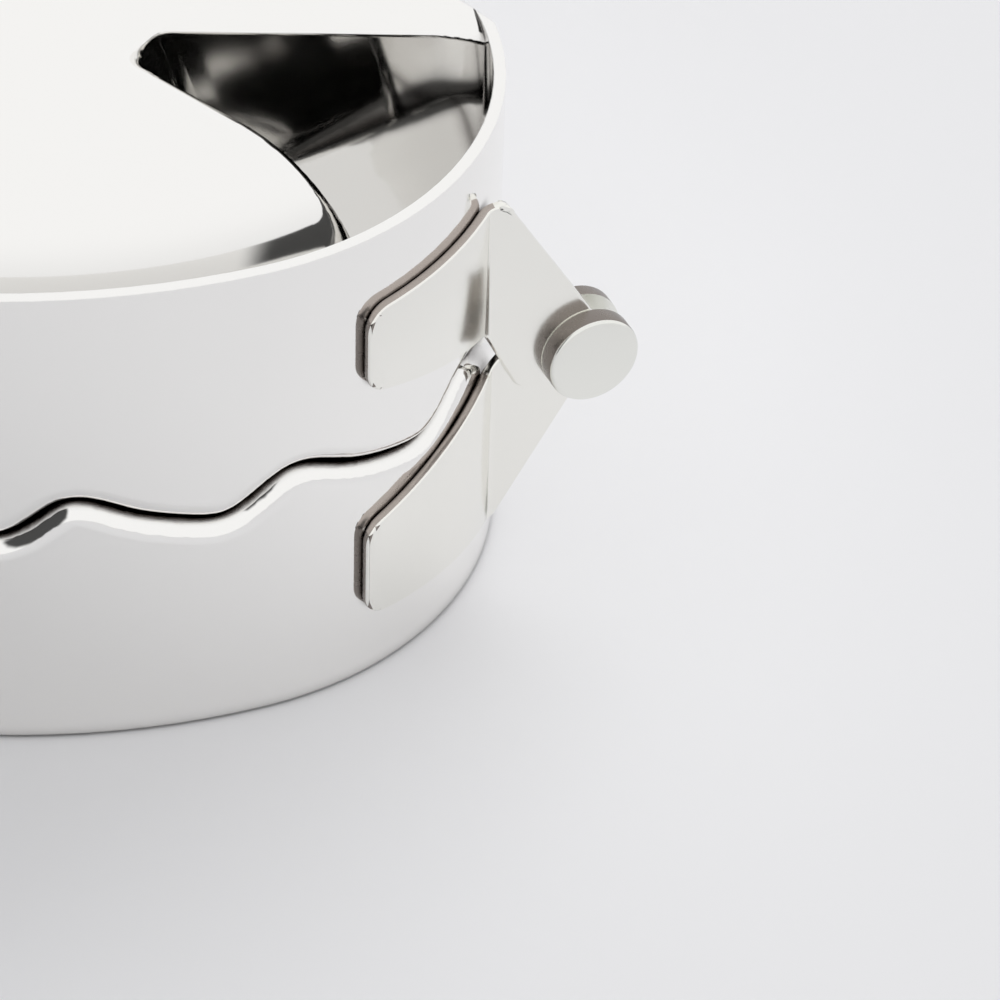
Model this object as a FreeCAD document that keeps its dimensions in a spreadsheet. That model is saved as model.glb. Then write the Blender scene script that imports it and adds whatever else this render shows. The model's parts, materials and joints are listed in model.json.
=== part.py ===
import FreeCAD
import Part
import Sketcher
import math
import os

# Closed hinged press for dumplings, pressed from polished steel sheet.
# X points to the hinge, Y runs along the hinge axis, Z is up, and the lower rim stands on Z = 0.
# The plan is a round of one radius, cut off flat on the hinge side, with large rounded corners.

doc = FreeCAD.newDocument("dumpling_press")
dims = doc.addObject("Spreadsheet::Sheet", "dims")

driving_sizes = [
    ("main_radius", 47.0),
    ("hinge_face", 22.3),
    ("corner_radius", 23.3),
    ("sheet", 0.8),
    ("half_height", 17.75),
    ("parting_gap", 0.3),
    ("wave_height", 1.35),
    ("wave_pitch", 14.0),
    ("wave_skew", 0.45),
    ("wave_fade", 9.0),
    ("bend_radius", 1.4),
    ("flange_width", 4.0),
    ("dome_draft", 8.0),
    ("dome_shoulder", 9.0),
    ("hinge_shoulder", 2.7),
    ("shoulder_run", 6.0),
    ("mouth_half", 28.8),
    ("mouth_angle", 23.7),
    ("side_x", 4.8),
    ("side_y", 34.5),
    ("side_angle", 24.0),
    ("side_draft", 12.0),
    ("pocket_round", 2.0),
    ("side_round", 2.5),
    ("mouth_round", 0.6),
    ("bracket_sheet", 0.8),
    ("ear_plane", 40.0),
    ("ear_gap", 0.08),
    ("tab_angle", 76.0),
    ("tab_high", 12.5),
    ("ear_high", 13.4),
    ("tab_round", 1.8),
    ("upper_tab_low", 6.3),
    ("upper_fold_low", 3.4),
    ("lower_tab_low", 5.2),
    ("lower_fold_low", 0.6),
    ("ear_top", 1.5),
    ("ear_drop", 2.6),
    ("ear_round", 0.9),
    ("fold_round", 0.9),
    ("pin_offset", 0.8),
    ("pin_radius", 1.1),
    ("pin_clearance", 0.05),
    ("eye_radius", 1.95),
    ("head_radius", 3.2),
    ("head_height", 1.5),
    ("tail_height", 1.2),
    ("head_round", 0.3),
]
for row, (alias, value) in enumerate(driving_sizes, start=1):
    dims.set("A%d" % row, alias)
    dims.set("B%d" % row, str(value))
    dims.setAlias("B%d" % row, alias)
doc.recompute()


def size(alias):
    return float(dims.get(alias))


# Helpers that add one document object each

def add(kind, name, links=None, sizes=None):
    thing = doc.addObject(kind, name)
    for prop, value in (links or {}).items():
        setattr(thing, prop, value)
    for prop, text in (sizes or {}).items():
        thing.setExpression(prop, text)
    return thing


def cut(name, base, tool):
    return add("Part::Cut", name, {"Base": base, "Tool": tool})


def common(name, base, tool):
    return add("Part::Common", name, {"Base": base, "Tool": tool})


def fuse(name, pieces):
    return add("Part::MultiFuse", name, {"Shapes": pieces})


def mirrored(name, source):
    return add("Part::Mirroring", name, {"Source": source, "Normal": FreeCAD.Vector(0, 1, 0)})


def rounded(name, base, radius, chosen):
    doc.recompute()
    edges = [i for i, edge in enumerate(base.Shape.Edges, start=1) if chosen(edge)]
    if not edges:
        raise RuntimeError("no edges found for " + name)
    thing = add("Part::Fillet", name, {"Base": base})
    thing.Edges = [(i, radius, radius) for i in edges]
    return thing


def is_upright(edge, lean=0.98):
    first = edge.Vertexes[0].Point
    last = edge.Vertexes[-1].Point
    run = last - first
    return run.Length > 1.0 and abs(run.z) / run.Length > lean


def middle_of(edge):
    return edge.valueAt((edge.FirstParameter + edge.LastParameter) / 2)


# Places that several pieces share
main_radius = size("main_radius")
hinge_face = size("hinge_face")
corner_radius = size("corner_radius")
sheet = size("sheet")
half_height = size("half_height")
corner_x = hinge_face - corner_radius
corner_y = math.sqrt((main_radius - corner_radius) ** 2 - corner_x ** 2)
corner_start = math.atan2(corner_y, corner_x)
reach = 3 * main_radius

# Front half of the rounded plan as a tall block, pulled in from the outer faces by an allowance

def plan_block(name, inset, low, high):
    less = " - %g * dims.sheet" % inset
    drum = add("Part::Cylinder", name + "_drum", None, {
        "Radius": "dims.main_radius" + less,
        "Height": "%s - (%s)" % (high, low),
        "Placement.Base.z": low,
    })
    slab = add("Part::Box", name + "_slab", None, {
        "Length": "2 * dims.main_radius",
        "Width": "4 * dims.main_radius",
        "Height": "%s - (%s) + 4" % (high, low),
        "Placement.Base.x": "dims.hinge_face" + less,
        "Placement.Base.y": "-2 * dims.main_radius",
        "Placement.Base.z": "%s - 2" % low,
    })
    trimmed = cut(name + "_trimmed", drum, slab)
    face_x = hinge_face - inset * sheet

    def on_flat(edge):
        return is_upright(edge) and abs(middle_of(edge).x - face_x) < 0.01

    whole = rounded(name + "_whole", trimmed, corner_radius - inset * sheet, on_flat)
    front = add("Part::Box", name + "_front_room", None, {
        "Length": "4 * dims.main_radius",
        "Width": "2 * dims.main_radius",
        "Height": "%s - (%s) + 4" % (high, low),
        "Placement.Base.x": "-2 * dims.main_radius",
        "Placement.Base.y": "-2 * dims.main_radius",
        "Placement.Base.z": "%s - 2" % low,
    })
    return common(name, whole, front)


# Points along the front half of the plan, spaced evenly, from the round side's far point to the hinge

def plan_points(outset, count):
    arc = main_radius * (math.pi - corner_start)
    turn = corner_radius * corner_start
    total = arc + turn + corner_y
    points = []
    for i in range(count + 1):
        way = total * i / count
        if way < arc:
            angle = math.pi - way / main_radius
            x = (main_radius + outset) * math.cos(angle)
            y = (main_radius + outset) * math.sin(angle)
        elif way < arc + turn:
            angle = corner_start - (way - arc) / corner_radius
            x = corner_x + (corner_radius + outset) * math.cos(angle)
            y = corner_y + (corner_radius + outset) * math.sin(angle)
        else:
            x = hinge_face + outset
            y = corner_y - (way - arc - turn)
        points.append((x, -y, way, arc + turn - way))
    return points


# Distance of a point outside the plan

def off_plan(spot):
    across = abs(spot.y)
    if across > corner_y and math.atan2(across - corner_y, spot.x - corner_x) < corner_start:
        return math.hypot(spot.x - corner_x, across - corner_y) - corner_radius
    if across <= corner_y and spot.x > 0:
        return spot.x - hinge_face
    return math.hypot(spot.x, spot.y) - main_radius


# Height of the wavy parting face: short rises, long falls, level along the hinge side

def wave(way, left):
    turn = 2 * math.pi * way / size("wave_pitch")
    skewed = turn + size("wave_skew") * (1 - math.cos(turn))
    fade = min(1.0, max(0.0, left / size("wave_fade")))
    fade = fade * fade * (3 - 2 * fade)
    return -size("wave_height") * fade * math.cos(skewed)


def wavy_face(name, sign, lift):
    count = 66
    overlap = 2.0
    outer = []
    inner = []
    points = plan_points(3.0, count)
    for i, (x, y, way, left) in enumerate(points):
        z = sign * wave(way, left) + lift
        outer.append(FreeCAD.Vector(x, y, z))
        inner.append(FreeCAD.Vector((0.5 * i / count - 0.6) * main_radius, overlap, z))
    outer.insert(0, outer[0] + FreeCAD.Vector(0, overlap, 0))
    inner.insert(0, inner[0] - FreeCAD.Vector(overlap, 0, 0))
    outer.append(outer[-1] + FreeCAD.Vector(0, overlap, 0))
    inner.append(inner[-1] + FreeCAD.Vector(overlap, 0, 0))
    steps = [i / (count + 2) for i in range(count + 3)]
    rails = []
    for points in (outer, inner):
        rail = Part.BSplineCurve()
        rail.interpolate(Points=points, Parameters=steps)
        rails.append(rail.toShape())
    thing = doc.addObject("Part::Feature", name)
    thing.Shape = Part.makeRuledSurface(rails[0], rails[1])
    return thing


def above(name, face):
    return add("Part::Extrusion", name, {
        "Base": face,
        "DirMode": "Custom",
        "Dir": FreeCAD.Vector(0, 0, 1),
        "Solid": True,
    }, {"LengthFwd": "2 * dims.half_height"})


# Round mould dome: drafted side, large shoulder, flat top level with the rim

def dome_block(name, inset):
    less = inset * sheet
    top = half_height - less
    base_radius = main_radius - sheet - size("flange_width") - less
    shoulder = size("dome_shoulder") - less
    draft = math.radians(size("dome_draft"))
    low = -half_height / 3
    rise = top - low
    slope = math.tan(draft)
    start_radius = base_radius + slope * (-low)
    bend = shoulder * math.tan((math.pi / 2 - draft) / 2)
    edge_radius = start_radius - slope * rise
    lower = (edge_radius + bend * math.sin(draft), top - bend * math.cos(draft))
    upper = (edge_radius - bend, top)
    hub = (upper[0], top - shoulder)
    sketch = doc.addObject("Sketcher::SketchObject", name + "_profile")
    sketch.Placement = FreeCAD.Placement(
        FreeCAD.Vector(0, 0, 0), FreeCAD.Rotation(FreeCAD.Vector(1, 0, 0), 90))

    def spot(pair):
        return FreeCAD.Vector(pair[0], pair[1], 0)

    sketch.addGeometry(Part.LineSegment(spot((0, low)), spot((start_radius, low))))
    sketch.addGeometry(Part.LineSegment(spot((start_radius, low)), spot(lower)))
    circle = Part.Circle(spot(hub), FreeCAD.Vector(0, 0, 1), shoulder)
    sketch.addGeometry(Part.ArcOfCircle(circle, draft, math.pi / 2))
    sketch.addGeometry(Part.LineSegment(spot(upper), spot((0, top))))
    sketch.addGeometry(Part.LineSegment(spot((0, top)), spot((0, low))))
    sketch.addConstraint(Sketcher.Constraint("Coincident", 0, 2, 1, 1))
    sketch.addConstraint(Sketcher.Constraint("Tangent", 1, 2, 2, 1))
    sketch.addConstraint(Sketcher.Constraint("Tangent", 2, 2, 3, 1))
    sketch.addConstraint(Sketcher.Constraint("Coincident", 3, 2, 4, 1))
    sketch.addConstraint(Sketcher.Constraint("Coincident", 4, 2, 0, 1))
    sketch.addConstraint(Sketcher.Constraint("Horizontal", 0))
    sketch.addConstraint(Sketcher.Constraint("Horizontal", 3))
    sketch.addConstraint(Sketcher.Constraint("PointOnObject", 0, 1, -2))
    sketch.addConstraint(Sketcher.Constraint("PointOnObject", 3, 2, -2))
    wide = sketch.addConstraint(Sketcher.Constraint("DistanceX", -1, 1, 0, 2, start_radius))
    deep = sketch.addConstraint(Sketcher.Constraint("DistanceY", 0, 1, -1, 1, -low))
    tall = sketch.addConstraint(Sketcher.Constraint("DistanceY", -1, 1, 3, 2, top))
    bent = sketch.addConstraint(Sketcher.Constraint("Radius", 2, shoulder))
    lean = sketch.addConstraint(Sketcher.Constraint("Angle", 1, math.pi / 2 + draft))
    offset = " - %g * dims.sheet" % inset
    sketch.setExpression("Constraints[%d]" % wide, (
        "dims.main_radius - dims.sheet - dims.flange_width%s"
        " + tan(dims.dome_draft * 1 deg) * dims.half_height / 3" % offset))
    sketch.setExpression("Constraints[%d]" % deep, "dims.half_height / 3")
    sketch.setExpression("Constraints[%d]" % tall, "dims.half_height" + offset)
    sketch.setExpression("Constraints[%d]" % bent, "dims.dome_shoulder" + offset)
    sketch.setExpression("Constraints[%d]" % lean, "90 deg + dims.dome_draft * 1 deg")
    return add("Part::Revolution", name, {
        "Source": sketch,
        "Axis": FreeCAD.Vector(0, 0, 1),
        "Base": FreeCAD.Vector(0, 0, 0),
        "Angle": 360.0,
        "Solid": True,
    })


# Corner pocket of the top: an upright wall beside the mouth, a leaning wall along the mould

def pocket_tool(name, inset):
    less = inset * sheet
    mouth = add("Part::Box", name + "_mouth", None, {
        "Length": "6 * dims.main_radius",
        "Width": "3 * dims.main_radius",
        "Height": "4 * dims.half_height",
    })
    swing = FreeCAD.Rotation(FreeCAD.Vector(0, 0, 1), -size("mouth_angle"))
    anchor = FreeCAD.Vector(hinge_face, -size("mouth_half"), half_height)
    corner = FreeCAD.Vector(-reach, less - reach, -3 * half_height)
    mouth.Placement = FreeCAD.Placement(anchor + swing.multVec(corner), swing)
    side = add("Part::Box", name + "_side", None, {
        "Length": "3 * dims.main_radius",
        "Width": "6 * dims.main_radius",
        "Height": "6 * dims.half_height",
    })
    turn = FreeCAD.Rotation(FreeCAD.Vector(0, 0, 1), size("side_angle"))
    tilt = FreeCAD.Rotation(FreeCAD.Vector(0, 1, 0), -size("side_draft"))
    both = turn.multiply(tilt)
    anchor = FreeCAD.Vector(size("side_x"), -size("side_y"), half_height)
    corner = FreeCAD.Vector(-less, -reach, -4 * half_height)
    side.Placement = FreeCAD.Placement(anchor + both.multVec(corner), both)
    wedge = common(name + "_wedge", mouth, side)
    doc.recompute()

    def inner_corner(edge):
        spot = middle_of(edge)
        return is_upright(edge, 0.9) and abs(spot.x) < hinge_face and abs(spot.y) < main_radius

    return rounded(name, wedge, size("pocket_round") + less, inner_corner)


# Rounds the upper edges of the pocket: wide along the mould, narrow along the mouth

def pocket_edges(name, base, inset):
    less = inset * sheet
    top = half_height - less
    swing = FreeCAD.Rotation(FreeCAD.Vector(0, 0, 1), -size("mouth_angle"))
    mouth_normal = swing.multVec(FreeCAD.Vector(0, 1, 0))
    mouth_spot = FreeCAD.Vector(hinge_face, -size("mouth_half"), half_height) + mouth_normal * less
    turn = FreeCAD.Rotation(FreeCAD.Vector(0, 0, 1), size("side_angle"))
    tilt = FreeCAD.Rotation(FreeCAD.Vector(0, 1, 0), -size("side_draft"))
    side_normal = turn.multiply(tilt).multVec(FreeCAD.Vector(-1, 0, 0))
    side_spot = FreeCAD.Vector(size("side_x"), -size("side_y"), half_height) + side_normal * less
    wide = size("side_round") - less
    narrow = size("mouth_round") - less / 2

    def on(spot, place, normal):
        return abs((spot - place).dot(normal)) < 0.005

    doc.recompute()
    chosen = []
    for i, edge in enumerate(base.Shape.Edges, start=1):
        spot = middle_of(edge)
        straight = isinstance(edge.Curve, Part.Line)
        if spot.z < -half_height / 4 or (straight and abs(spot.z - top) > 0.01):
            continue
        if on(spot, side_spot, side_normal):
            chosen.append((i, wide, wide))
        elif on(spot, mouth_spot, mouth_normal):
            chosen.append((i, narrow, narrow))
        elif abs(spot.z - top) < 0.01 and math.hypot(spot.x, spot.y) < main_radius / 2:
            first_on_mouth = on(edge.valueAt(edge.FirstParameter), mouth_spot, mouth_normal)
            chosen.append((i, narrow, wide) if first_on_mouth else (i, wide, narrow))
    thing = add("Part::Fillet", name, {"Base": base})
    thing.Edges = chosen
    return thing


# One half, made with its parting face at Z = 0 and its rim upwards, as a front and its mirror image

def half_shell(prefix, node, sign):
    lift = size("parting_gap") / 2
    low = "-dims.half_height / 4"
    tall = "dims.half_height"
    over = "1.2 * dims.half_height"
    outer_plan = plan_block(prefix + "_outer_plan", 0, low, tall)
    inner_plan = plan_block(prefix + "_inner_plan", 1, low, over)
    face = wavy_face(prefix + "_parting_face", sign, lift)
    floor = wavy_face(prefix + "_floor_face", sign, lift + sheet)
    body = common(prefix + "_body", outer_plan, above(prefix + "_over_parting", face))

    def lower_edge(edge):
        spot = middle_of(edge)
        return abs(spot.z) < half_height / 4 and abs(off_plan(spot)) < 0.05

    body_bent = rounded(prefix + "_body_bent", body, size("bend_radius"), lower_edge)
    body_eased = cut(prefix + "_body_eased", body_bent, shoulder_tool(prefix + "_shoulder", 0))
    hollow = common(prefix + "_hollow", inner_plan, above(prefix + "_over_floor", floor))
    dome = cut(
        prefix + "_dome", dome_block(prefix + "_dome_round", 0), pocket_tool(prefix + "_pocket", 0))
    void = cut(prefix + "_void", hollow, pocket_edges(prefix + "_dome_eased", dome, 0))
    cup = cut(prefix + "_cup", body_eased, void)
    room = cut(
        prefix + "_room", dome_block(prefix + "_room_round", 1), pocket_tool(prefix + "_room_pocket", 1))
    room_within = common(
        prefix + "_room_within",
        plan_block(prefix + "_room_plan", 1, low, over),
        pocket_edges(prefix + "_room_eased", room, 1))
    cavity = cut(prefix + "_cavity", room_within, shoulder_tool(prefix + "_room_shoulder", 1))
    front = cut(prefix + "_front", cup, cavity)
    return fuse(node, [front, mirrored(prefix + "_back", front)])


# What rounds the top edge over the flat hinge side, fading out at the corner

def shoulder_tool(name, inset):
    less = "%g * dims.sheet" % inset
    radius = "(dims.hinge_shoulder - %s)" % less
    axis_x = "dims.hinge_face - dims.hinge_shoulder"
    axis_z = "dims.half_height - dims.hinge_shoulder"
    corner = add("Part::Box", name + "_corner", None, {
        "Length": "2 * dims.hinge_shoulder",
        "Width": "dims.mouth_half + 2",
        "Height": "2 * dims.hinge_shoulder",
        "Placement.Base.x": axis_x,
        "Placement.Base.y": "-dims.mouth_half",
        "Placement.Base.z": axis_z,
    })
    lay = FreeCAD.Rotation(FreeCAD.Vector(1, 0, 0), 90)
    bar = add("Part::Cylinder", name + "_bar", None, {
        "Radius": radius,
        "Height": "dims.mouth_half - dims.shoulder_run + 4",
        "Placement.Base.x": axis_x,
        "Placement.Base.y": "4",
        "Placement.Base.z": axis_z,
    })
    bar.Placement.Rotation = lay
    taper = add("Part::Cone", name + "_taper", None, {
        "Radius1": radius,
        "Radius2": radius + " * sqrt(2)",
        "Height": "dims.shoulder_run",
        "Placement.Base.x": axis_x,
        "Placement.Base.y": "dims.shoulder_run - dims.mouth_half",
        "Placement.Base.z": axis_z,
    })
    taper.Placement.Rotation = lay
    return cut(name, cut(name + "_open", corner, bar), taper)


# Side view of a hinge bracket as a prism along Y: strap, slanted ear and round eye about the pin

def fold_x(ear):
    return corner_x + math.sqrt(corner_radius ** 2 - (ear - corner_y) ** 2)


def bracket_prism(name, upward, ear, strap_low, fold_low):
    eye = size("eye_radius")
    pin_x = hinge_face + size("pin_offset")
    strap_radius = corner_radius + size("bracket_sheet")
    left = corner_x + strap_radius * math.cos(math.radians(size("tab_angle")))
    strap_high = size("tab_high")
    high = size("ear_high")
    top_x = fold_x(size("ear_plane")) + size("ear_top")
    low_x = fold_x(ear)
    drop_x = low_x + size("ear_drop")
    drop_z = -0.97 * eye

    def touch(x, z, side):
        toward = math.atan2(z, x - pin_x)
        return toward + side * math.acos(eye / math.hypot(x - pin_x, z))

    first = touch(drop_x, drop_z, 1)
    last = touch(top_x, high, -1) + 2 * math.pi

    def spot(x, z):
        return FreeCAD.Vector(x, z, 0)

    def on_eye(angle):
        return spot(pin_x + eye * math.cos(angle), eye * math.sin(angle))

    sketch = doc.addObject("Sketcher::SketchObject", name + "_outline")
    lean = 90 if upward else -90
    sketch.Placement = FreeCAD.Placement(
        FreeCAD.Vector(0, 0, 0), FreeCAD.Rotation(FreeCAD.Vector(1, 0, 0), lean))
    sketch.setExpression("Placement.Base.z", "dims.half_height")
    sketch.addGeometry(Part.LineSegment(spot(left, strap_low), spot(left, strap_high)))
    sketch.addGeometry(Part.LineSegment(spot(left, strap_high), spot(top_x, high)))
    sketch.addGeometry(Part.LineSegment(spot(top_x, high), on_eye(last)))
    circle = Part.Circle(spot(pin_x, 0), FreeCAD.Vector(0, 0, 1), eye)
    sketch.addGeometry(Part.ArcOfCircle(circle, first, last))
    sketch.addGeometry(Part.LineSegment(on_eye(first), spot(drop_x, drop_z)))
    sketch.addGeometry(Part.LineSegment(spot(drop_x, drop_z), spot(low_x, fold_low)))
    sketch.addGeometry(Part.LineSegment(spot(low_x, fold_low), spot(left, strap_low)))
    sketch.addConstraint(Sketcher.Constraint("Coincident", 0, 2, 1, 1))
    sketch.addConstraint(Sketcher.Constraint("Coincident", 1, 2, 2, 1))
    sketch.addConstraint(Sketcher.Constraint("Tangent", 2, 2, 3, 2))
    sketch.addConstraint(Sketcher.Constraint("Tangent", 4, 1, 3, 1))
    sketch.addConstraint(Sketcher.Constraint("Coincident", 4, 2, 5, 1))
    sketch.addConstraint(Sketcher.Constraint("Coincident", 5, 2, 6, 1))
    sketch.addConstraint(Sketcher.Constraint("Coincident", 6, 2, 0, 1))
    sketch.addConstraint(Sketcher.Constraint("Vertical", 0))
    sketch.addConstraint(Sketcher.Constraint("PointOnObject", 3, 3, -1))
    sketch.addConstraint(Sketcher.Constraint("DistanceX", -1, 1, 0, 1, left))
    sketch.addConstraint(Sketcher.Constraint("DistanceY", -1, 1, 0, 1, strap_low))
    tall = sketch.addConstraint(Sketcher.Constraint("DistanceY", -1, 1, 0, 2, strap_high))
    top = sketch.addConstraint(Sketcher.Constraint("DistanceY", -1, 1, 1, 2, high))
    sketch.addConstraint(Sketcher.Constraint("DistanceX", -1, 1, 1, 2, top_x))
    sketch.addConstraint(Sketcher.Constraint("DistanceX", -1, 1, 4, 2, drop_x))
    sketch.addConstraint(Sketcher.Constraint("DistanceY", -1, 1, 4, 2, drop_z))
    sketch.addConstraint(Sketcher.Constraint("DistanceX", -1, 1, 5, 2, low_x))
    sketch.addConstraint(Sketcher.Constraint("DistanceY", -1, 1, 5, 2, fold_low))
    pin = sketch.addConstraint(Sketcher.Constraint("DistanceX", -1, 1, 3, 3, pin_x))
    bore = sketch.addConstraint(Sketcher.Constraint("Radius", 3, eye))
    sketch.setExpression("Constraints[%d]" % tall, "dims.tab_high")
    sketch.setExpression("Constraints[%d]" % top, "dims.ear_high")
    sketch.setExpression("Constraints[%d]" % pin, "dims.hinge_face + dims.pin_offset")
    sketch.setExpression("Constraints[%d]" % bore, "dims.eye_radius")
    prism = add("Part::Extrusion", name + "_prism", {
        "Base": sketch,
        "DirMode": "Custom",
        "Dir": FreeCAD.Vector(0, -1, 0),
        "Solid": True,
    }, {"LengthFwd": "1.2 * dims.main_radius"})
    side = 1 if upward else -1

    def at(x, z):
        def chosen(edge):
            middle = middle_of(edge)
            along = abs(edge.Vertexes[0].Point.y - edge.Vertexes[-1].Point.y) > 1.0
            return along and math.hypot(middle.x - x, middle.z - half_height - side * z) < 0.05
        return chosen

    def strap_end(edge):
        return at(left, strap_low)(edge) or at(left, strap_high)(edge)

    eased = rounded(name + "_eased", prism, size("tab_round"), strap_end)
    eased = rounded(name + "_eased_top", eased, size("ear_round"), at(top_x, high))
    eased = rounded(name + "_eased_drop", eased, size("ear_round"), at(drop_x, drop_z))
    return rounded(name + "_eased_low", eased, size("ear_round"), at(low_x, fold_low))


# One front bracket: a strap that lies on the rounded corner, folded out into a flat ear with a pin hole

def bracket(name, upward, ear_text, ear, strap_low, fold_low, hole_text):
    across = "sqrt((dims.main_radius - dims.corner_radius)^2 - (dims.hinge_face - dims.corner_radius)^2)"
    center = {
        "Height": "2 * dims.half_height",
        "Placement.Base.x": "dims.hinge_face - dims.corner_radius",
        "Placement.Base.y": "-" + across,
    }
    outer = add("Part::Cylinder", name + "_outer", None, dict(
        center, Radius="dims.corner_radius + dims.bracket_sheet"))
    inner = add("Part::Cylinder", name + "_inner", None, dict(center, Radius="dims.corner_radius"))
    ring = cut(name + "_ring", outer, inner)
    room = add("Part::Box", name + "_room", None, {
        "Length": "2 * dims.main_radius",
        "Width": "dims.main_radius",
        "Height": "2 * dims.half_height",
        "Placement.Base.x": "-dims.main_radius",
        "Placement.Base.y": "-(%s) - dims.main_radius" % ear_text,
    })
    strap = common(name + "_strap", ring, room)
    plate = add("Part::Box", name + "_plate", None, {
        "Length": "dims.main_radius",
        "Width": "dims.bracket_sheet",
        "Height": "2 * dims.half_height",
        "Placement.Base.x": "dims.hinge_face - dims.corner_radius"
                            " + sqrt(dims.corner_radius^2 - (%s - %s)^2)" % (ear_text, across),
        "Placement.Base.y": "-(%s) - dims.bracket_sheet" % ear_text,
    })
    bent = fuse(name + "_bent", [strap, plate])
    outer_ear = ear + size("bracket_sheet")
    outer_radius = corner_radius + size("bracket_sheet")
    outer_x = corner_x + math.sqrt(outer_radius ** 2 - (outer_ear - corner_y) ** 2)

    def upright_at(x, y):
        def chosen(edge):
            middle = middle_of(edge)
            return is_upright(edge) and math.hypot(middle.x - x, middle.y - y) < 0.02
        return chosen

    folded = rounded(name + "_folded", bent, size("fold_round"), upright_at(outer_x, -outer_ear))
    folded = rounded(
        name + "_folded_inside", folded, size("fold_round") + size("bracket_sheet"),
        upright_at(fold_x(ear), -ear))
    trimmed = common(
        name + "_trimmed", folded, bracket_prism(name, upward, ear, strap_low, fold_low))
    hole = add("Part::Cylinder", name + "_hole", None, {
        "Radius": hole_text,
        "Height": "1.2 * dims.main_radius",
        "Placement.Base.x": "dims.hinge_face + dims.pin_offset",
        "Placement.Base.z": "dims.half_height",
    })
    hole.Placement.Rotation = FreeCAD.Rotation(FreeCAD.Vector(1, 0, 0), 90)
    return cut(name, trimmed, hole)


# Rivet along Y: formed head inside, shank through both ears, thick disc head outside

def rivet(name, ear_text, inner_text):
    def disc(part, radius, start, height):
        thing = add("Part::Cylinder", name + part, None, {
            "Radius": radius,
            "Height": height,
            "Placement.Base.x": "dims.hinge_face + dims.pin_offset",
            "Placement.Base.y": "-(%s)" % start,
            "Placement.Base.z": "dims.half_height",
        })
        thing.Placement.Rotation = FreeCAD.Rotation(FreeCAD.Vector(1, 0, 0), 90)
        return thing

    outside = "%s + dims.bracket_sheet" % ear_text
    tail = disc("_tail", "dims.head_radius", "%s - dims.tail_height" % inner_text, "dims.tail_height")
    shank = disc("_shank", "dims.pin_radius", inner_text, "%s - (%s)" % (outside, inner_text))
    head = disc("_head", "dims.head_radius", outside, "dims.head_height")
    solid = fuse(name + "_solid", [tail, shank, head])

    def rim(edge):
        round_edge = hasattr(edge.Curve, "Radius") and abs(edge.Curve.Radius - size("head_radius")) < 0.01
        return round_edge and len(edge.Vertexes) == 1

    def ends(edge):
        depth = -middle_of(edge).y
        inmost = size("ear_plane") - size("bracket_sheet") - size("ear_gap") - size("tail_height")
        outmost = size("ear_plane") + size("bracket_sheet") + size("head_height")
        return rim(edge) and (abs(depth - inmost) < 0.01 or abs(depth - outmost) < 0.01)

    return rounded(name, solid, size("head_round"), ends)


upper_ear_text = "dims.ear_plane"
lower_ear_text = "dims.ear_plane - dims.bracket_sheet - dims.ear_gap"
upper_ear = size("ear_plane")
lower_ear = upper_ear - size("bracket_sheet") - size("ear_gap")


# Finished pieces

upper_shell = half_shell("upper", "upper_shell", 1)
lower_shell = half_shell("lower", "lower_shell", -1)
bracket_upper_front = bracket(
    "bracket_upper_front", True, upper_ear_text, upper_ear,
    size("upper_tab_low"), size("upper_fold_low"), "dims.pin_radius + dims.pin_clearance")
bracket_lower_front = bracket(
    "bracket_lower_front", False, lower_ear_text, lower_ear,
    size("lower_tab_low"), size("lower_fold_low"), "dims.pin_radius")
hinge_rivet_front = rivet("hinge_rivet_front", upper_ear_text, lower_ear_text)
bracket_upper_back = mirrored("bracket_upper_back", bracket_upper_front)
bracket_lower_back = mirrored("bracket_lower_back", bracket_lower_front)
hinge_rivet_back = mirrored("hinge_rivet_back", hinge_rivet_front)
upper_shell.Placement = FreeCAD.Placement(
    FreeCAD.Vector(0, 0, half_height), FreeCAD.Rotation())
lower_shell.Placement = FreeCAD.Placement(
    FreeCAD.Vector(0, 0, half_height), FreeCAD.Rotation(FreeCAD.Vector(1, 0, 0), 180))
doc.recompute()

pieces = [
    upper_shell, lower_shell,
    bracket_upper_front, bracket_lower_front, bracket_upper_back, bracket_lower_back,
    hinge_rivet_front, hinge_rivet_back,
]
for thing in doc.Objects:
    if "Invalid" in thing.State or "Error" in thing.State:
        raise RuntimeError("failed object " + thing.Name)
os.makedirs("parts", exist_ok=True)
for piece in pieces:
    piece.Label = piece.Name
    if piece.Shape.isNull() or not piece.Shape.isValid() or len(piece.Shape.Solids) != 1:
        raise RuntimeError("bad shape " + piece.Label)
    piece.Shape.exportStep("parts/%s.step" % piece.Label)
    box = piece.Shape.BoundBox
    print(piece.Label, "%.2f mm3" % piece.Shape.Volume,
          "%.2f %.2f %.2f" % (box.XMin, box.YMin, box.ZMin),
          "%.2f %.2f %.2f" % (box.XMax, box.YMax, box.ZMax))
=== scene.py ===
# %% [markdown]
# The object is a hinged press for dumplings, closed, in polished steel sheet.
# Two pressed shells meet in a wavy crimping edge, and riveted brackets join them at the flat side.
# The imported solids are the fixed frame: everything added here rides on one of their two bodies.
# The frame is loaded first.

# %% Load the frame
import bpy
import json
import math
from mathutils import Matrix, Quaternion, Vector


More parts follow.
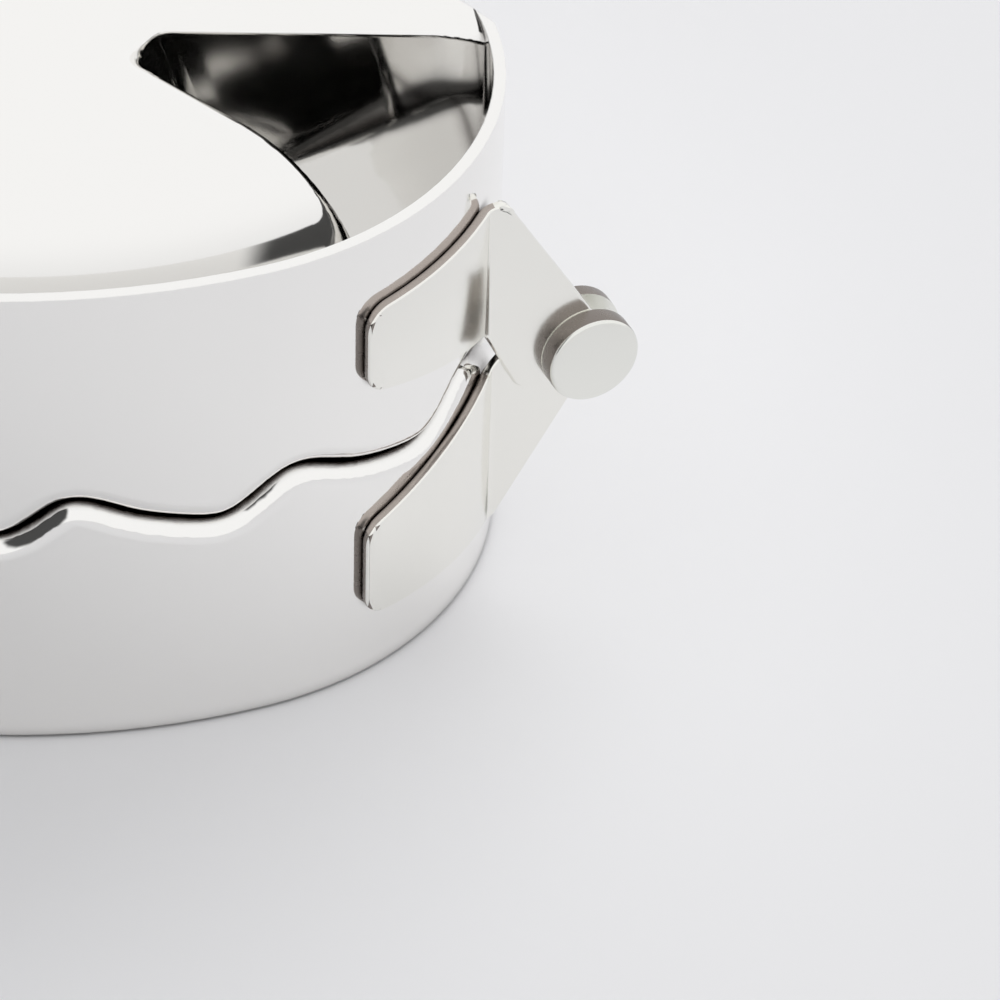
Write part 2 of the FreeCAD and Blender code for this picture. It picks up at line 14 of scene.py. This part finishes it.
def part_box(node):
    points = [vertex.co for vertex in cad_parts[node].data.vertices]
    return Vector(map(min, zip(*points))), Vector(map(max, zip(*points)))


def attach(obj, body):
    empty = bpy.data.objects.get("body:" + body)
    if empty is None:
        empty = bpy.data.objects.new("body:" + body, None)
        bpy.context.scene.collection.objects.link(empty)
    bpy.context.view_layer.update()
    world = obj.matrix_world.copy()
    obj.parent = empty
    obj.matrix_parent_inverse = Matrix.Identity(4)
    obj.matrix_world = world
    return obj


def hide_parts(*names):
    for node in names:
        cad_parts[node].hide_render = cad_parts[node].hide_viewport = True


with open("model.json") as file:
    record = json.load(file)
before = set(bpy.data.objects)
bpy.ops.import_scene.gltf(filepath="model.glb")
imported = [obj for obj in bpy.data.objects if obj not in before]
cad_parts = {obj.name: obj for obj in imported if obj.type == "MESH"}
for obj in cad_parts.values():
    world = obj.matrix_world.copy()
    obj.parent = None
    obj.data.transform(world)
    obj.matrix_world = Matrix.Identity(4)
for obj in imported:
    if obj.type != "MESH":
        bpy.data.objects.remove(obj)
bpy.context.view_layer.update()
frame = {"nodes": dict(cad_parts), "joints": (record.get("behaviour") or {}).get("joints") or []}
nodes = frame["nodes"]
mm = 0.001
print("nodes", sorted(nodes))

# %% [markdown]
# Colours are written as sRGB hex values, as a painter or a web designer would give them.
# Blender's sockets want linear numbers, so one function converts them.
# A second function adds one shader node with its settings, its numbers and its links.
# A third starts a material without nodes.
# A material then reads as a list of its nodes, in the order in which the surface is made.

# %% Colour and node helpers
def linear(hex_colour):
    parts = [int(hex_colour[i:i + 2], 16) / 255 for i in (0, 2, 4)]
    values = [p / 12.92 if p <= 0.04045 else ((p + 0.055) / 1.055) ** 2.4 for p in parts]
    return values + [1.0]


def add_node(owner, kind, settings=None, inputs=None, links=None):
    node = owner.node_tree.nodes.new(kind)
    for name, value in (settings or {}).items():
        setattr(node, name, value)
    for socket, value in (inputs or {}).items():
        node.inputs[socket].default_value = value
    for socket, source in (links or {}).items():
        owner.node_tree.links.new(source, node.inputs[socket])
    return node


def new_material(name):
    material = bpy.data.materials.new(name)
    material.use_nodes = True
    material.node_tree.nodes.clear()
    return material


# %% [markdown]
# The shells are stainless steel sheet, deep drawn between two dies and then buffed.
# Drawing leaves faint streaks in the direction of the draw, here Z, and buffing leaves a little haze.
# The eye sees a nearly clean mirror whose reflections are slightly soft and drawn out upwards.
# Stretched noise makes the streaks: squeezing Z in a Mapping node makes each speck tall.
# A Bevel node softens the raw edges by a tenth of a millimetre, which a cut and deburred edge has.
# The base colour is painted darker in the corner pockets: painted shade, standing in for the shade that falls
# in the deep recesses.
# An Ambient Occlusion node finds them: it tells how much open room a spot has within a given distance.
# A second one, with a far shorter distance, finds the tight gaps, and the colour there is painted darker
# still: painted shade between the parts.

# %% Buffed stainless steel for the shells
streak_width = 3.0 * mm
streak_height = 60 * mm
haze_patch = 9 * mm
raw_edge_round = 0.12 * mm
# Painted shade: the first distance and tone below darken the base colour in the deep pockets.
recess_shade_reach = 14 * mm
# Painted shade: the next distance and the darker tone below darken the base colour further in the tight gaps.
gap_width = 2.5 * mm
recess_shade_tone = "eae9e7"
gap_shade_tone = "7a7572"
buffed_tone = "f7f6f4"

shell_steel = new_material("buffed_stainless_steel")
place = add_node(shell_steel, "ShaderNodeTexCoord")
drawn = add_node(
    shell_steel, "ShaderNodeMapping", None,
    {"Scale": (1 / streak_width, 1 / streak_width, 1 / streak_height)},
    {"Vector": place.outputs["Object"]})
streaks = add_node(
    shell_steel, "ShaderNodeTexNoise", None,
    {"Scale": 1.0, "Detail": 2.0, "Roughness": 0.5}, {"Vector": drawn.outputs["Vector"]})
haze = add_node(
    shell_steel, "ShaderNodeTexNoise", None,
    {"Scale": 1 / haze_patch, "Detail": 4.0, "Roughness": 0.6}, {"Vector": place.outputs["Object"]})
softness = add_node(
    shell_steel, "ShaderNodeMapRange", None,
    {"From Min": 0.3, "From Max": 0.7, "To Min": 0.04, "To Max": 0.09}, {"Value": haze.outputs["Fac"]})
edge = add_node(shell_steel, "ShaderNodeBevel", {"samples": 4}, {"Radius": raw_edge_round})
ripple = add_node(
    shell_steel, "ShaderNodeBump", None, {"Strength": 0.03, "Distance": 0.03 * mm},
    {"Height": streaks.outputs["Fac"], "Normal": edge.outputs["Normal"]})
# Painted shade: where this occlusion finds a deep pocket, the base colour goes to the darker tone.
recess_occlusion = add_node(
    shell_steel, "ShaderNodeAmbientOcclusion", {"samples": 16, "only_local": True}, {"Distance": recess_shade_reach})
recess_shade_mask = add_node(
    shell_steel, "ShaderNodeMapRange", {"interpolation_type": "SMOOTHSTEP"},
    {"From Min": 0.45, "From Max": 0.80}, {"Value": recess_occlusion.outputs["AO"]})
tone = add_node(
    shell_steel, "ShaderNodeMix", {"data_type": "RGBA"},
    {6: linear(recess_shade_tone), 7: linear(buffed_tone)}, {0: recess_shade_mask.outputs["Result"]})
# Painted shade: a short occlusion darkens the tight gaps, such as under the brackets and along the wavy
# parting line.
tight = add_node(
    shell_steel, "ShaderNodeAmbientOcclusion", {"samples": 16}, {"Distance": gap_width})
gap_shade_mask = add_node(
    shell_steel, "ShaderNodeMapRange", {"interpolation_type": "SMOOTHSTEP"},
    {"From Min": 0.25, "From Max": 0.75}, {"Value": tight.outputs["AO"]})
gap_shaded = add_node(
    shell_steel, "ShaderNodeMix", {"data_type": "RGBA"}, {6: linear(gap_shade_tone)},
    {0: gap_shade_mask.outputs["Result"], 7: tone.outputs[2]})
metal = add_node(
    shell_steel, "ShaderNodeBsdfPrincipled", None, {"Metallic": 1.0},
    {"Base Color": gap_shaded.outputs[2], "Roughness": softness.outputs["Result"],
     "Normal": ripple.outputs["Normal"]})
add_node(shell_steel, "ShaderNodeOutputMaterial", None, None, {"Surface": metal.outputs["BSDF"]})

for shell in ("lower_shell", "upper_shell"):
    nodes[shell].data.materials.clear()
    nodes[shell].data.materials.append(shell_steel)
    print(shell, "finish", shell_steel.name)

# %% [markdown]
# The brackets are stamped from the same kind of sheet and tumbled, which takes the shine down to satin.
# Tumbling beats every side alike, so the finish is an even, very fine grain without a direction.
# The grain is finer than a picture can show, so it is drawn at a third of a millimetre and kept shallow.

# %% Tumbled stainless steel for the brackets
grain_size = 0.35 * mm
smear_size = 6 * mm

bracket_steel = new_material("tumbled_stainless_steel")
place = add_node(bracket_steel, "ShaderNodeTexCoord")
grain = add_node(
    bracket_steel, "ShaderNodeTexNoise", None,
    {"Scale": 1 / grain_size, "Detail": 2.0, "Roughness": 0.6}, {"Vector": place.outputs["Object"]})
smear = add_node(
    bracket_steel, "ShaderNodeTexNoise", None,
    {"Scale": 1 / smear_size, "Detail": 3.0, "Roughness": 0.55}, {"Vector": place.outputs["Object"]})
softness = add_node(
    bracket_steel, "ShaderNodeMapRange", None,
    {"From Min": 0.3, "From Max": 0.7, "To Min": 0.12, "To Max": 0.20}, {"Value": smear.outputs["Fac"]})
beaten = add_node(
    bracket_steel, "ShaderNodeBump", None, {"Strength": 0.06, "Distance": 0.03 * mm},
    {"Height": grain.outputs["Fac"]})
metal = add_node(
    bracket_steel, "ShaderNodeBsdfPrincipled", None,
    {"Base Color": linear("f4f3ee"), "Metallic": 1.0},
    {"Roughness": softness.outputs["Result"], "Normal": beaten.outputs["Normal"]})
add_node(bracket_steel, "ShaderNodeOutputMaterial", None, None, {"Surface": metal.outputs["BSDF"]})
print("bracket finish", bracket_steel.name)

# %% [markdown]
# Where the strap was sheared from the sheet, the cut face is torn and rougher than the tumbled sides.
# It is the same steel with a rougher skin, made in a lit and a shaded copy whose browner base colours are
# painted light and painted shade.
# The faces turned up or down get the lighter copy. The ends and the rivets' sides get the darker one, which
# stands in for their dark reflections.

# %% Sheared stainless steel for the cut edges, with painted light and shade
tear_size = 0.5 * mm


def cut_steel_with_painted_shading(name, tone):
    steel = new_material(name)
    place = add_node(steel, "ShaderNodeTexCoord")
    tears = add_node(
        steel, "ShaderNodeTexNoise", None,
        {"Scale": 1 / tear_size, "Detail": 3.0, "Roughness": 0.6}, {"Vector": place.outputs["Object"]})
    softness = add_node(
        steel, "ShaderNodeMapRange", None,
        {"From Min": 0.3, "From Max": 0.7, "To Min": 0.22, "To Max": 0.38}, {"Value": tears.outputs["Fac"]})
    metal = add_node(
        steel, "ShaderNodeBsdfPrincipled", None,
        {"Base Color": linear(tone), "Metallic": 1.0}, {"Roughness": softness.outputs["Result"]})
    add_node(steel, "ShaderNodeOutputMaterial", None, None, {"Surface": metal.outputs["BSDF"]})
    print("cut edge finish", steel.name)
    return steel


# Painted shade and painted light: the ends get the darker copy, and the faces turned up or down get the
# lighter one.
shaded_edge_steel = cut_steel_with_painted_shading("cut_steel_painted_shade", "8a837e")
lit_edge_steel = cut_steel_with_painted_shading("cut_steel_painted_light", "b5aca6")

# %% [markdown]
# The rivets are turned from bar, so their faces carry the fine rings of the lathe tool.
# A Wave texture in ring form gives them, once a Mapping node has moved the pin's axis to the origin.
# The real feed is about a twentieth of a millimetre. It is drawn four times as coarse, so that it shows.

# %% Turned stainless steel for the rivets
hinge = frame["joints"][0]
pin = Vector(hinge["pos_m"])
feed = 0.2 * mm
rivet_smear = 1.5 * mm

rivet_steel = new_material("turned_stainless_steel")
place = add_node(rivet_steel, "ShaderNodeTexCoord")
centred = add_node(
    rivet_steel, "ShaderNodeMapping", None, {"Location": (-pin.x, 0.0, -pin.z)},
    {"Vector": place.outputs["Object"]})
rings = add_node(
    rivet_steel, "ShaderNodeTexWave", {"wave_type": "RINGS", "rings_direction": "Y"},
    {"Scale": math.pi / 10 / feed, "Distortion": 0.6, "Detail": 1.0, "Detail Scale": 0.3},
    {"Vector": centred.outputs["Vector"]})
smear = add_node(
    rivet_steel, "ShaderNodeTexNoise", None,
    {"Scale": 1 / rivet_smear, "Detail": 3.0, "Roughness": 0.6}, {"Vector": place.outputs["Object"]})
softness = add_node(
    rivet_steel, "ShaderNodeMapRange", None,
    {"From Min": 0.3, "From Max": 0.7, "To Min": 0.18, "To Max": 0.26}, {"Value": smear.outputs["Fac"]})
turned = add_node(
    rivet_steel, "ShaderNodeBump", None, {"Strength": 0.05, "Distance": 0.02 * mm},
    {"Height": rings.outputs["Fac"]})
metal = add_node(
    rivet_steel, "ShaderNodeBsdfPrincipled", None,
    {"Base Color": linear("eeeee9"), "Metallic": 1.0},
    {"Roughness": softness.outputs["Result"], "Normal": turned.outputs["Normal"]})
add_node(rivet_steel, "ShaderNodeOutputMaterial", None, None, {"Surface": metal.outputs["BSDF"]})
print("rivet finish", rivet_steel.name, "about", tuple(round(1000 * c, 2) for c in pin))

# %% [markdown]
# Each bracket is a stamped strap that lies on the rounded corner and is folded out into a flat ear.
# Its solid has the right shape but knife sharp edges, and a stamping has soft ones.
# So a copy is made: the loose triangles are merged, flat areas become larger faces, and a Bevel modifier
# rounds every edge by about a quarter of a millimetre. The copy then stands for the solid.
# Smooth shading would bend the light on the flat ears near their rounded edges.
# So the corners of the flat faces are given the ear's own normal, and the ears stay flat to the eye.
# The strap bends round the corner of the shell, so a face of it that doesn't look away from that
# corner's centre is a cut edge. Beyond the fold the ear begins, which is tumbled all over.

# %% Softened brackets
def deselect():
    bpy.ops.object.select_all(action="DESELECT")


def keep_ears_flat(mesh):
    flat = {}
    for face in mesh.polygons:
        if abs(face.normal.y) > 0.9999:
            for corner in face.vertices:
                flat[corner] = face.normal.copy()
    normals = [corner.vector.copy() for corner in mesh.corner_normals]
    for face in mesh.polygons:
        for loop in face.loop_indices:
            ear_normal = flat.get(mesh.loops[loop].vertex_index)
            if ear_normal and face.normal.dot(ear_normal) > 0.9:
                normals[loop] = ear_normal
    mesh.normals_split_custom_set(normals)


def softened_copy(node_name, edge_width):
    deselect()
    piece = bpy.data.objects.new(node_name + "_stamping", nodes[node_name].data.copy())
    bpy.context.scene.collection.objects.link(piece)
    bpy.context.view_layer.objects.active = piece
    piece.select_set(True)
    bpy.ops.mesh.customdata_custom_splitnormals_clear()
    bpy.ops.object.mode_set(mode="EDIT")
    bpy.ops.mesh.select_all(action="SELECT")
    bpy.ops.mesh.remove_doubles(threshold=0.002 * mm)
    bpy.ops.mesh.dissolve_limited(angle_limit=math.radians(0.02))
    bpy.ops.object.mode_set(mode="OBJECT")
    soften = piece.modifiers.new("soften", "BEVEL")
    soften.width = edge_width
    soften.segments = 3
    soften.limit_method = "ANGLE"
    soften.angle_limit = math.radians(35)
    soften.use_clamp_overlap = False
    bpy.ops.object.modifier_apply(modifier="soften")
    bpy.ops.object.shade_smooth_by_angle(angle=math.radians(25))
    keep_ears_flat(piece.data)
    return piece


corner_centre = Vector((-1.0 * mm, 23.68 * mm, 0.0))
fold_start = 16.3 * mm


# Cut-edge faces get the shaded copy, or the lit copy where they face up or down: painted shade and painted
# light.
def paint_shading_on_cut_edges(piece, front_or_back):
    piece.data.materials.append(shaded_edge_steel)
    piece.data.materials.append(lit_edge_steel)
    centre = Vector((corner_centre.x, front_or_back * corner_centre.y, 0.0))
    for face in piece.data.polygons:
        outward = face.center - centre
        outward.z = 0.0
        on_strap = face.center.x < fold_start
        if on_strap and face.normal.dot(outward.normalized()) < 0.3:
            face.material_index = 2 if abs(face.normal.z) > 0.5 else 1


stamped_edge = 0.28 * mm
for half in ("upper", "lower"):
    for side in ("front", "back"):
        node_name = "bracket_" + half + "_" + side
        stamping = softened_copy(node_name, stamped_edge)
        stamping.data.materials.clear()
        stamping.data.materials.append(bracket_steel)
        paint_shading_on_cut_edges(stamping, -1 if side == "front" else 1)
        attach(stamping, half + "_half")
        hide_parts(node_name)
        print(stamping.name, len(stamping.data.polygons), "faces")

# %% [markdown]
# A rivet is a thick turned head, a shank through both ears, and a second head formed behind them.
# It is modelled as on a lathe, from one end to the other: a cylinder is the head,
# its inner face is inset to the shank, extruded through the ears, and widened again for the formed head.
# The rims get their own bevels: a wide soft one on both outer faces, a narrow one under the head.
# The sides of the heads get the darker cut-edge tone, which is painted shade in place of their dark
# reflection.

# %% Turned rivets
shank_radius = 1.1 * mm
head_height = 1.5 * mm
tail_height = 1.2 * mm
face_round = 0.30 * mm
under_round = 0.12 * mm


def pick_faces(piece, wanted):
    bpy.ops.object.mode_set(mode="EDIT")
    bpy.ops.mesh.select_mode(type="FACE")
    bpy.ops.mesh.select_all(action="DESELECT")
    bpy.ops.object.mode_set(mode="OBJECT")
    for face in piece.data.polygons:
        face.select = wanted(face)
    bpy.ops.object.mode_set(mode="EDIT")


def rivet(side, outward):
    low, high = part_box("hinge_rivet_" + side)
    face_y = low.y if outward < 0 else high.y
    tail_y = high.y if outward < 0 else low.y
    head_radius = (high.z - low.z) / 2
    shank_length = abs(face_y - tail_y) - head_height - tail_height
    deselect()
    bpy.ops.mesh.primitive_cylinder_add(
        vertices=128, radius=head_radius, depth=head_height,
        location=(pin.x, face_y - outward * head_height / 2, pin.z), rotation=(math.pi / 2, 0, 0))
    piece = bpy.context.object
    piece.name = "hinge_rivet_" + side + "_turned"
    bpy.ops.object.transform_apply(location=True, rotation=True, scale=True)
    pick_faces(piece, lambda face: face.normal.y * outward < -0.9)
    bpy.ops.mesh.inset(thickness=head_radius - shank_radius)
    along = -outward
    bpy.ops.mesh.extrude_region_move(TRANSFORM_OT_translate={"value": (0, along * shank_length, 0)})
    widen = head_radius / shank_radius
    bpy.ops.mesh.extrude_region_move(TRANSFORM_OT_translate={"value": (0, 0, 0)})
    bpy.ops.transform.resize(
        value=(widen, 1, widen), center_override=(pin.x, face_y, pin.z))
    bpy.ops.mesh.extrude_region_move(TRANSFORM_OT_translate={"value": (0, along * tail_height, 0)})
    bpy.ops.mesh.select_all(action="DESELECT")
    bpy.ops.object.mode_set(mode="OBJECT")
    return piece, face_y, tail_y, head_radius


def soft_rim(piece, rim_y, radius, width):
    bpy.ops.object.mode_set(mode="EDIT")
    bpy.ops.mesh.select_mode(type="EDGE")
    bpy.ops.mesh.select_all(action="DESELECT")
    bpy.ops.object.mode_set(mode="OBJECT")
    for spot in piece.data.edges:
        ends = [piece.data.vertices[i].co for i in spot.vertices]
        level = all(abs(end.y - rim_y) < 0.001 * mm for end in ends)
        outer = all(math.hypot(end.x - pin.x, end.z - pin.z) > 0.98 * radius for end in ends)
        spot.select = level and outer
    bpy.ops.object.mode_set(mode="EDIT")
    bpy.ops.mesh.bevel(offset=width, segments=4, profile=0.5)
    bpy.ops.mesh.select_all(action="DESELECT")
    bpy.ops.object.mode_set(mode="OBJECT")


for side, outward in (("front", -1), ("back", 1)):
    turned_rivet, face_y, tail_y, head_radius = rivet(side, outward)
    soft_rim(turned_rivet, face_y, head_radius, face_round)
    soft_rim(turned_rivet, face_y - outward * head_height, head_radius, under_round)
    soft_rim(turned_rivet, tail_y, head_radius, face_round)
    bpy.ops.object.shade_smooth_by_angle(angle=math.radians(35))
    turned_rivet.data.materials.append(rivet_steel)
    turned_rivet.data.materials.append(shaded_edge_steel)
    # Painted shade: the heads' sides take the darker cut-edge tone.
    for face in turned_rivet.data.polygons:
        face.material_index = 1 if abs(face.normal.y) < 0.3 else 0
    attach(turned_rivet, "lower_half")
    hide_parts("hinge_rivet_" + side)
    print(turned_rivet.name, len(turned_rivet.data.polygons), "faces")

# %% [markdown]
# The press stands on a pale seamless sweep, as for a catalogue picture.
# A plane far larger than the object stands for it, so its end is never seen from above.

# %% Floor
floor_size = 6.0
floor_drop = 0.25 * mm
deselect()
bpy.ops.mesh.primitive_plane_add(size=floor_size, location=(0, 0, -floor_drop))
floor = bpy.context.object
floor.name = "floor"
paper = new_material("white_paper_sweep")
paper_shader = add_node(
    paper, "ShaderNodeBsdfPrincipled", None,
    {"Base Color": linear("eeeef0"), "Roughness": 0.9, "Specular IOR Level": 0.2})
add_node(paper, "ShaderNodeOutputMaterial", None, None, {"Surface": paper_shader.outputs["BSDF"]})
floor.data.materials.append(paper)
print("floor of", paper.name, "at z", floor.location.z)

# %% [markdown]
# A mirror shows its room, so the room is what is lit here: white walls and a darker end.
# The dark end is a patch of the world around one fixed direction, at the left of the press.
# It ends well below the zenith, so that the top of the press still mirrors white.
# One soft lamp at the back right throws the light shadow at the front left. The steel doesn't mirror it.

# %% World and lamps
dark_side = Vector((-0.903, 0.430, 0.0))
white_wall = (0.97, 0.97, 0.97, 1.0)
dark_wall = (0.07, 0.07, 0.07, 1.0)
world = bpy.data.worlds.new("studio_white")
bpy.context.scene.world = world
world.use_nodes = True
world.node_tree.nodes.clear()
sky_place = add_node(world, "ShaderNodeTexCoord")
sky_side = add_node(
    world, "ShaderNodeVectorMath", {"operation": "DOT_PRODUCT"}, {1: dark_side},
    {0: sky_place.outputs["Generated"]})
sky_height = add_node(world, "ShaderNodeSeparateXYZ", None, None, {0: sky_place.outputs["Generated"]})
sideways = add_node(
    world, "ShaderNodeMapRange", {"interpolation_type": "SMOOTHSTEP"},
    {"From Min": 0.30, "From Max": 0.45}, {"Value": sky_side.outputs["Value"]})
under = add_node(
    world, "ShaderNodeMapRange", {"interpolation_type": "SMOOTHSTEP"},
    {"From Min": 0.90, "From Max": 0.72}, {"Value": sky_height.outputs["Z"]})
both = add_node(
    world, "ShaderNodeMath", {"operation": "MULTIPLY"}, None,
    {0: sideways.outputs["Result"], 1: under.outputs["Result"]})
sky_colour = add_node(
    world, "ShaderNodeMix", {"data_type": "RGBA"},
    {6: white_wall, 7: dark_wall}, {0: both.outputs["Value"]})
sky_shader = add_node(
    world, "ShaderNodeBackground", None, {"Strength": 1.0}, {"Color": sky_colour.outputs[2]})
add_node(world, "ShaderNodeOutputWorld", None, None, {"Surface": sky_shader.outputs["Background"]})


def soft_box(name, location, aim, width, height, power):
    lamp = bpy.data.lights.new(name, "AREA")
    lamp.shape = "RECTANGLE"
    lamp.size = width
    lamp.size_y = height
    lamp.energy = power
    holder = bpy.data.objects.new(name, lamp)
    bpy.context.scene.collection.objects.link(holder)
    holder.location = location
    holder.rotation_euler = (Vector(aim) - Vector(location)).to_track_quat("-Z", "Y").to_euler()
    return holder


key_place = (0.55, 0.45, 0.7)
key_width = 0.7
key_power = 2.4
key_box = soft_box("key_box", key_place, (0, 0, 0), key_width, key_width, key_power)
key_box.visible_glossy = False
print("world", world.name, "with one lamp,", key_box.name)

# %% [markdown]
# The camera looks down on the hinge corner from the front left with a long lens.
# Its angles and distance were found by matching the rim, the brackets and the rivet with the photograph.

# %% Camera
camera_azimuth = math.radians(25.49)
camera_elevation = math.radians(39.93)
camera_roll = math.radians(1.94)
camera_distance = 0.300
camera_target = Vector((0.01151, -0.05281, 0.01775))
focal_pixels = 4744.0
image_pixels = 1000.0
toward_camera = Vector((
    -math.sin(camera_azimuth) * math.cos(camera_elevation),
    -math.cos(camera_azimuth) * math.cos(camera_elevation),
    math.sin(camera_elevation)))
lens = bpy.data.cameras.new("camera")
lens.sensor_width = 36.0
lens.lens = focal_pixels / image_pixels * lens.sensor_width
lens.clip_start = 0.01
camera = bpy.data.objects.new("camera", lens)
bpy.context.scene.collection.objects.link(camera)
camera.location = camera_target + camera_distance * toward_camera
look = (-toward_camera).to_track_quat("-Z", "Y")
camera.rotation_mode = "QUATERNION"
camera.rotation_quaternion = look @ Quaternion((0, 0, 1), camera_roll)
bpy.context.scene.camera = camera
print("camera", tuple(round(c, 3) for c in camera.location), "lens", round(lens.lens, 1), "mm")

# %% [markdown]
# The colours leave without a film curve, so that white paper stays the white that was set.

# %% Colour management
bpy.context.scene.view_settings.view_transform = "Standard"
